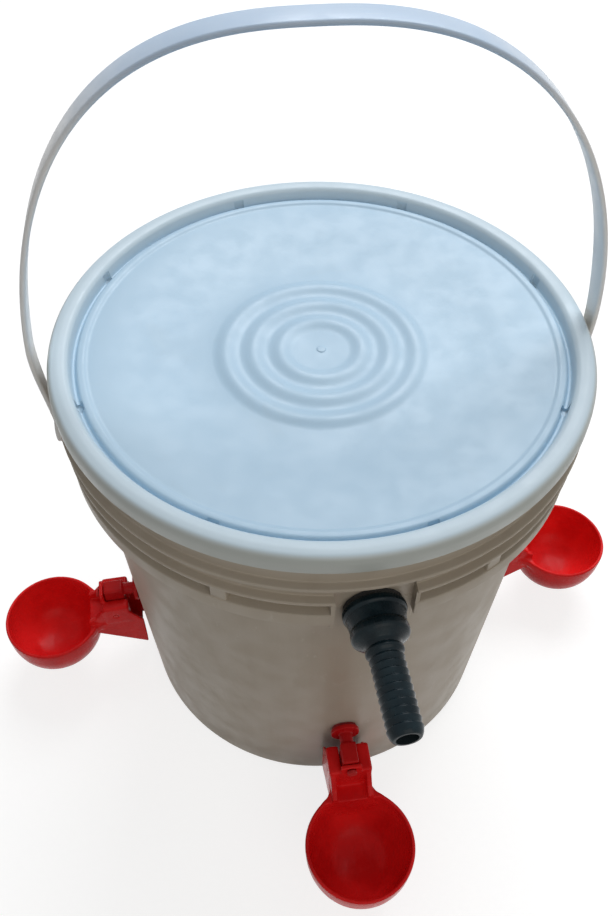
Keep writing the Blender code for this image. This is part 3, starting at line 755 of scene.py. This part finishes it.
def lid_profile():
    """The lid's section, from the nub at its centre over the rim and back under the panel."""
    middle = PANEL_Z - DISH_DEPTH
    nub = [(0.0, middle + 0.0006), (0.0022, middle + 0.0005), (0.0027, middle), (0.0060, middle)]
    edge = [
        (0.1308, PANEL_Z + 0.0011), (0.1338, PANEL_Z + 0.0011), (0.1350, PANEL_Z - 0.0002),
        (0.1354, CREST - 0.0082), (RIM_START, CREST - 0.0082),
    ]
    rim = [
        (0.1384, CREST - 0.0020), (0.1402, CREST - 0.0004), (0.1440, CREST), (0.1474, CREST - 0.0006),
        (0.1492, CREST - 0.0024), (LID_RADIUS, CREST - 0.0052), (LID_RADIUS, CREST - 0.0120),
    ]
    under = [
        (0.1484, CREST - 0.0120), (0.1472, CREST - 0.0105), (0.1482, CREST - 0.0090),
        (0.1482, CREST - 0.0032), (0.1470, CREST - 0.0022), (0.1432, CREST - 0.0020),
        (0.1424, CREST - 0.0030), (0.1392, CREST - 0.0102), (0.1340, CREST - 0.0102),
    ]
    for radius, height in reversed(lid_dish(8)):
        under.append((radius, height - PANEL_THICKNESS))
    under.append((0.0, middle - PANEL_THICKNESS))
    return rounded(nub, 0.0004) + lid_rings() + rounded(lid_dish(24) + edge + rim + under, 0.0012, 4)


def make_lid():
    """The lid with small notches round the foot of its rim."""
    notch = block("notch", (NOTCH_IN, -NOTCH_HALF_WIDTH, NOTCH_LOW),
                  (NOTCH_OUT, NOTCH_HALF_WIDTH, NOTCH_TOP), 0.0006)
    steps = []
    for number in range(NOTCH_COUNT):
        steps.append(("DIFFERENCE", notch, about_z(NOTCH_AZIMUTH + 360 / NOTCH_COUNT * number)))
    mesh = carved(turned("drinker_lid", lid_profile(), PAIL_STEPS), steps)
    dress("drinker_lid", mesh, "lid", "lid", "lid_plastic")


# Bail

def bail_sway(height):
    """How far the soft strap has bent over to the left at a height above its pivots."""
    height = max(height, 0.0)
    return LEG_SWAY * min(1.0, height / LEG_HEIGHT) + ARCH_SWAY * (height / BAIL_RISE) ** 4


def bail_line(count=180):
    """Points along the middle of the strap's arch."""
    points = []
    for i in range(count + 1):
        angle = math.pi * i / count
        height = math.sin(angle) ** BAIL_SQUARENESS * (BAIL_RISE + BAIL_START) - BAIL_START
        pinch = BAIL_PINCH * eased(1.0 - height / PINCH_HEIGHT)
        half = abs(math.cos(angle)) ** BAIL_SQUARENESS * BAIL_HALF_WIDTH - pinch
        points.append(Vector((math.copysign(half, math.cos(angle)) - bail_sway(height), 0.0, height)))
    return points


def strap_section():
    """The strap's section, flat with round edges, as (thickness, width) points."""
    half, width, steps = STRAP_THICKNESS / 2, STRAP_WIDTH / 2, 8
    section = []
    for i in range(steps + 1):
        angle = math.pi * i / steps
        section.append((half * math.cos(angle), width - half + half * math.sin(angle)))
    for i in range(steps + 1):
        angle = math.pi + math.pi * i / steps
        section.append((half * math.cos(angle), -width + half + half * math.sin(angle)))
    return section


def strap_mesh():
    """The strap swept along its arch, narrower towards its ends."""
    section, line = strap_section(), bail_line()
    shape = bmesh.new()
    rings = []
    for i, point in enumerate(line):
        along = (line[min(i + 1, len(line) - 1)] - line[max(i - 1, 0)]).normalized()
        out = Vector((along.z, 0.0, -along.x))
        taper = STRAP_END_WIDTH + (STRAP_WIDTH - STRAP_END_WIDTH) * eased(point.z / TAPER_HEIGHT)
        ring = []
        for thick, wide in section:
            ring.append(shape.verts.new(point + out * thick + Vector((0, wide * taper / STRAP_WIDTH, 0))))
        rings.append(ring)
    for upper, lower in zip(rings, rings[1:]):
        for i in range(len(section)):
            j = (i + 1) % len(section)
            shape.faces.new((upper[i], upper[j], lower[j], lower[i]))
    shape.faces.new(rings[0])
    shape.faces.new(rings[-1])
    bmesh.ops.recalc_face_normals(shape, faces=shape.faces)
    return to_mesh("drinker_bail", shape)


def eye_outline():
    """The section of a leg's round eye and the stud on its inner face."""
    half = STRAP_THICKNESS / 2
    inside = BAIL_HALF_WIDTH - BAIL_PINCH - half - 0.0002
    outside = BAIL_HALF_WIDTH - BAIL_PINCH + half + 0.0002
    outline = [
        (0, outside - 0.0005), (0.0030, outside - 0.0005), (0.0036, outside), (EYE_RADIUS, outside),
        (EYE_RADIUS, inside), (STUD_RADIUS, inside), (STUD_RADIUS, STUD_START), (0, STUD_START),
    ]
    return rounded(outline, 0.0009)


def make_bail():
    """The strap with an eye and a stud at each end."""
    steps = []
    for turn in (0, 180):
        eye = turned("bail_eye", eye_outline(), EYE_STEPS)
        steps.append(("UNION", eye, about_z(turn) @ radial_place(0.0)))
    mesh = carved(strap_mesh(), steps)
    mesh.transform(Matrix.Translation((0, 0, BAIL_Z)) @ about_z(BAIL_AZIMUTH))
    dress("drinker_bail", mesh, "bail", "bail_handle", "bail_plastic")


# Cups

def bowl_outside():
    """The bowl's outside, from the middle of its rim down to the middle of its floor."""
    return [
        (0.0, RIM_Z), (BOWL_RADIUS - 0.0006, RIM_Z), (BOWL_RADIUS, RIM_Z - 0.0006), (BOWL_RADIUS, 0.0520),
        (0.0340, 0.0430), (0.0317, 0.0340), (0.0270, 0.0262), (0.0195, 0.0203), (0.0100, 0.0174),
        (0.0, BOWL_FLOOR_Z),
    ]


def bowl_inside():
    """The bowl's hollow, from above its rim down to its floor."""
    return [
        (0.0, 0.0700), (0.0323, 0.0700), (0.0323, 0.0520), (0.0316, 0.0430), (0.0292, 0.0350),
        (0.0248, 0.0283), (0.0180, 0.0228), (0.0095, 0.0200), (0.0, 0.0192),
    ]


def neck_side(side):
    """Steps that join one side's rail, rounded corner, ear and cheek to the neck."""
    rail_outline = [
        (NECK_START, 0.0560), (NECK_START, 0.0745), (0.1592, 0.0728), (0.1650, 0.0645),
        (0.1750, 0.0588), (0.1750, 0.0560),
    ]
    fillet_outline = [
        (0.1585, 0.0120), (0.1585, 0.0134), (0.1620, 0.0141), (0.1655, 0.0160), (0.1680, 0.0192),
        (0.1714, 0.0230), (NECK_END, 0.0230), (NECK_END, 0.0120),
    ]
    cheek_outline = [
        (0.1315, 0.0240), (0.1312, 0.0555), (0.1405, 0.0700), (0.1560, 0.0700),
        (0.1560, RIM_Z - 0.0006), (0.1665, RIM_Z - 0.0006), (0.1665, 0.0465),
    ]
    rail = slab("rail", rail_outline, *span(side, RAIL_INSIDE, NECK_HALF_WIDTH - 0.0002))
    fillet = slab("fillet", [(x, side * y) for x, y in fillet_outline], -RIM_Z, -NECK_LOW)
    low, high = span(side, EAR_INSIDE, EAR_HALF_WIDTH)
    ear = block("ear", (EAR_BACK, low, EAR_LOW), (EAR_FRONT, high, EAR_TOP), 0.0016)
    cheek = slab("cheek", cheek_outline, *span(side, CHEEK_INSIDE, CHEEK_OUTSIDE))
    return [
        ("UNION", rail, Matrix()),
        ("UNION", fillet, Matrix.Rotation(-math.pi / 2, 4, "X")),
        ("UNION", ear, Matrix()),
        ("UNION", cheek, Matrix()),
    ]


def bowl_hollow():
    """The hollow of the bowl, which stops short of the neck."""
    land = block("land", (LAND_BACK - BOWL_X, -BOWL_RADIUS, LAND_LOW),
                 (LAND_X - BOWL_X, BOWL_RADIUS, LAND_TOP))
    hollow = turned("bowl_inside", rounded(bowl_inside(), 0.006, 6), BOWL_STEPS)
    return carved(hollow, [("DIFFERENCE", land, Matrix())])


def bowl_mesh():
    """The bowl with its neck, ears, cheeks and yoke as one softly blended moulding."""
    neck = block("drinker_cup_bowl", (NECK_START, -NECK_HALF_WIDTH, NECK_LOW),
                 (NECK_END, NECK_HALF_WIDTH, RIM_Z), 0.0010)
    yoke = block("yoke", (YOKE_IN, -YOKE_HALF_WIDTH, YOKE_LOW), (YOKE_OUT, YOKE_HALF_WIDTH, YOKE_TOP))
    web_outline = [(0.1345, 0.0262), (0.1665, 0.0468), (0.1665, 0.0486), (0.1345, 0.0282)]
    web = slab("web", web_outline, -WEB_HALF_WIDTH, WEB_HALF_WIDTH)
    bowl = turned("bowl_outside", rounded(bowl_outside(), 0.006, 6), BOWL_STEPS)
    bowl_place = Matrix.Translation((BOWL_X, 0, 0))
    hole = rod("ear_hole", PIN_HOLE, EAR_PIN_ENDS, PIN_STEPS)
    slot = rod("yoke_slot", SLOT_RADIUS, SLOT_ENDS, PIN_STEPS)
    steps = [("UNION", yoke, Matrix()), ("UNION", web, Matrix())]
    steps += neck_side(-1) + neck_side(1)
    steps += [
        ("UNION", bowl, bowl_place),
        ("DIFFERENCE", bowl_hollow(), bowl_place),
        ("DIFFERENCE", hole, across_place(PIN_X, PIN_Z)),
        ("DIFFERENCE", slot, radial_place(STEM_Z + 0.0003)),
    ]
    return carved(neck, steps, BOWL_CELL, BOWL_RELAX)


def housing_mesh():
    """The valve housing: stem, wall flange and the tongue on the hinge pin, softly blended."""
    stem = [
        (0.0, 0.1440), (STEM_RADIUS, 0.1440), (STEM_RADIUS, FLANGE_OUT), (FLANGE_RADIUS, FLANGE_OUT),
        (FLANGE_RADIUS, FLANGE_IN), (THREAD_RADIUS, FLANGE_IN), (THREAD_RADIUS, STEM_END),
        (0.0, STEM_END),
    ]
    bore = [
        (0.0, 0.1600), (0.0018, 0.1600), (0.0018, 0.1325), (0.0032, 0.1325), (0.0032, 0.1140),
        (0.0, 0.1140),
    ]
    hole = rod("tongue_hole", PIN_HOLE, TONGUE_PIN_ENDS, PIN_STEPS)
    steps = [
        ("UNION", turned("stem", stem, EYE_STEPS), radial_place(STEM_Z)),
        ("DIFFERENCE", turned("bore", bore, HOLE_STEPS), radial_place(STEM_Z)),
        ("DIFFERENCE", hole, across_place(PIN_X, PIN_Z)),
    ]
    tongue = block("drinker_cup_housing", (TONGUE_BACK, -TONGUE_HALF_WIDTH, TONGUE_LOW),
                   (TONGUE_FRONT, TONGUE_HALF_WIDTH, TONGUE_TOP), 0.0014)
    return carved(tongue, steps, HOUSING_CELL, HOUSING_RELAX)


def make_cups():
    """The four cups, each a bowl that tips and a housing fixed to the pail, from the same two meshes."""
    bowl, housing = bowl_mesh(), housing_mesh()
    for place, azimuth in CUP_AZIMUTHS.items():
        turn = about_z(azimuth)
        dress("drinker_cup_bowl_" + place, bowl, "cup_" + place, "cup_bowl_" + place, "cup_plastic",
              turn, MOULDED_SHARP)
        dress("drinker_cup_housing_" + place, housing, "pail", "cup_housing_" + place, "valve_plastic",
              turn, MOULDED_SHARP)


# Inlet

def make_hose_tail():
    """The barbed tail, with its flange against the pail and its bore."""
    barbs = []
    for number in range(BARB_COUNT):
        start = BARB_START + BARB_PITCH * number
        barbs += [
            (BARB_ROOT, start), (BARB_CREST, start + 0.0006), (BARB_END, start + BARB_PITCH - 0.0004),
        ]
    tip = [(HOSE_BORE, HOSE_END), (0.0070, HOSE_END), (0.0079, HOSE_END - 0.0015)]
    body = [
        (0.0084, 0.1700), (0.0098, 0.1690), (0.0098, 0.1672), (0.0088, 0.1665), (0.0095, 0.1640),
        (0.0140, 0.1612), (0.0149, 0.1600), (0.0149, 0.1565), (0.0143, 0.1555), (0.0155, 0.1485),
        (0.0165, 0.1475), (0.0165, 0.1443),
    ]
    bore = [(TAIL_RADIUS + GAP, 0.1443), (TAIL_RADIUS + GAP, 0.1575), (HOSE_BORE, 0.1600)]
    profile = rounded(tip + list(reversed(barbs)) + body + bore, 0.0008, 3)
    mesh = turned("drinker_hose_tail", profile, FITTING_STEPS, ring=True)
    mesh.transform(about_z(INLET_AZIMUTH) @ radial_place(INLET_Z))
    dress("drinker_hose_tail", mesh, "pail", "hose_tail", "fitting_plastic")


# Solids that show as they are

def dress_cad_nodes():
    """Gives every CAD node still shown its material and smooth shading."""
    by_start = {
        "cup_nut": "cup_plastic", "cup_pin": "cup_plastic", "cup_plunger": "valve_plastic",
        "cup_spring": "steel", "cup_seal": "rubber", "cup_washer": "soft_red",
        "lid_gasket": "rubber", "inlet_outer": "rubber", "inlet_inner": "rubber",
        "inlet_locknut": "fitting_plastic", "float_valve": "fitting_plastic", "float_pin": "steel",
        "float_arm": "fitting_plastic", "float_ball": "float_plastic",
        "float_plunger": "float_plastic", "float_plunger_tip": "rubber",
    }
    for name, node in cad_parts.items():
        if node.hide_render:
            continue
        start = max((key for key in by_start if name.startswith(key)), key=len)
        node.data.materials.clear()
        node.data.materials.append(looks[by_start[start]])
        node.data.shade_smooth()
        node.data.set_sharp_from_angle(angle=math.radians(SOLID_SHARP))


# Lamps, floor and camera

def area_lamp(name, place, aim, size, power, colour):
    """A square lamp at a place, turned towards a point."""
    lamp = bpy.data.lights.new(name, "AREA")
    lamp.shape = "SQUARE"
    lamp.size = size
    lamp.energy = power
    lamp.color = colour
    made = bpy.data.objects.new(name, lamp)
    bpy.context.scene.collection.objects.link(made)
    made.location = place
    made.rotation_euler = (Vector(aim) - Vector(place)).to_track_quat("-Z", "Y").to_euler()


def seen_directly(tree):
    """One for a ray from the camera, or one that a mirror or glass passes on."""
    path = tree.nodes.new("ShaderNodeLightPath")
    either = maths(tree, "MAXIMUM", path.outputs["Is Camera Ray"], path.outputs["Is Glossy Ray"])
    return maths(tree, "MAXIMUM", either, path.outputs["Is Transmission Ray"])


def make_floor():
    """A pale floor that keeps the object's shadow and looks white to the camera."""
    deep, light = (0.36, 0.355, 0.345), (0.39, 0.385, 0.375)
    shape = bmesh.new()
    bmesh.ops.create_grid(shape, x_segments=8, y_segments=8, size=FLOOR_HALF)
    mesh = to_mesh("floor", shape)
    floor = bpy.data.objects.new("floor", mesh)
    bpy.context.scene.collection.objects.link(floor)
    floor.location = (0, 0, -FLOOR_DROP)
    look, tree, shader = new_look("floor_paper", 0.9)
    shader.inputs["Specular IOR Level"].default_value = 0.0
    colour = mottled(tree, deep, light, scale=300.0, detail=3.0, low=0.3, high=0.7)
    tree.links.new(colour, shader.inputs["Base Color"])
    shader.inputs["Emission Color"].default_value = (1.0, 1.0, 1.0, 1.0)
    glow = maths(tree, "MULTIPLY", seen_directly(tree), FLOOR_GLOW)
    tree.links.new(glow, shader.inputs["Emission Strength"])
    mesh.materials.append(look)


def make_world():
    """A dim even light, and a white backdrop."""
    light, backdrop = (0.22, 0.225, 0.235), (1.0, 1.0, 1.0)
    world = bpy.data.worlds.new("studio")
    bpy.context.scene.world = world
    world.use_nodes = True
    tree = world.node_tree
    background = tree.nodes["Background"]
    colour = blend(tree, seen_directly(tree), light, backdrop)
    tree.links.new(colour, background.inputs["Color"])
    background.inputs["Strength"].default_value = 1.0


def make_camera():
    """The photograph's camera, turned right by its yaw, down by its pitch and then rolled."""
    forward = Vector((math.sin(CAMERA_YAW) * math.cos(CAMERA_PITCH),
                      math.cos(CAMERA_YAW) * math.cos(CAMERA_PITCH),
                      -math.sin(CAMERA_PITCH)))
    level = Vector((math.cos(CAMERA_YAW), -math.sin(CAMERA_YAW), 0.0))
    upright = level.cross(forward)
    right = level * math.cos(CAMERA_ROLL) + upright * math.sin(CAMERA_ROLL)
    up = upright * math.cos(CAMERA_ROLL) - level * math.sin(CAMERA_ROLL)
    lens = bpy.data.cameras.new("photo_camera")
    lens.sensor_fit = "VERTICAL"
    lens.sensor_height = 36.0
    lens.lens = FOCAL_PIXELS * lens.sensor_height / PHOTO_HEIGHT
    camera = bpy.data.objects.new("photo_camera", lens)
    bpy.context.scene.collection.objects.link(camera)
    turn = Matrix((right, up, -forward)).transposed().to_4x4()
    camera.matrix_world = Matrix.Translation(CAMERA_PLACE) @ turn
    bpy.context.scene.camera = camera


looks = {
    "pail_plastic": pail_look(),
    "lid_plastic": lid_look(),
    "bail_plastic": bail_look(),
    "cup_plastic": red_look("cup_plastic", light=(0.90, 0.022, 0.022), deep=(0.74, 0.012, 0.013),
                            roughness=0.24),
    "valve_plastic": red_look("valve_plastic", light=(0.62, 0.014, 0.014), deep=(0.50, 0.009, 0.011),
                              roughness=0.28),
    "fitting_plastic": black_look(),
    "rubber": rubber_look("rubber", deep=(0.016, 0.016, 0.017), light=(0.042, 0.041, 0.040)),
    "soft_red": rubber_look("soft_red", deep=(0.24, 0.007, 0.009), light=(0.34, 0.014, 0.016)),
    "steel": steel_look(),
    "float_plastic": float_look(),
}
make_pail()
make_lid()
make_bail()
make_cups()
make_hose_tail()
dress_cad_nodes()
make_floor()
make_world()
area_lamp("overhead", place=(0.60, 1.20, 2.10), aim=(0.0, 0.0, 0.20), size=1.5, power=38.0,
          colour=(0.96, 1.0, 1.05))
area_lamp("front_fill", place=(0.40, -2.00, 1.30), aim=(0.0, 0.0, 0.15), size=1.8, power=10.0,
          colour=(1.08, 1.0, 0.90))
make_camera()
bpy.context.scene.view_settings.view_transform = "Standard"
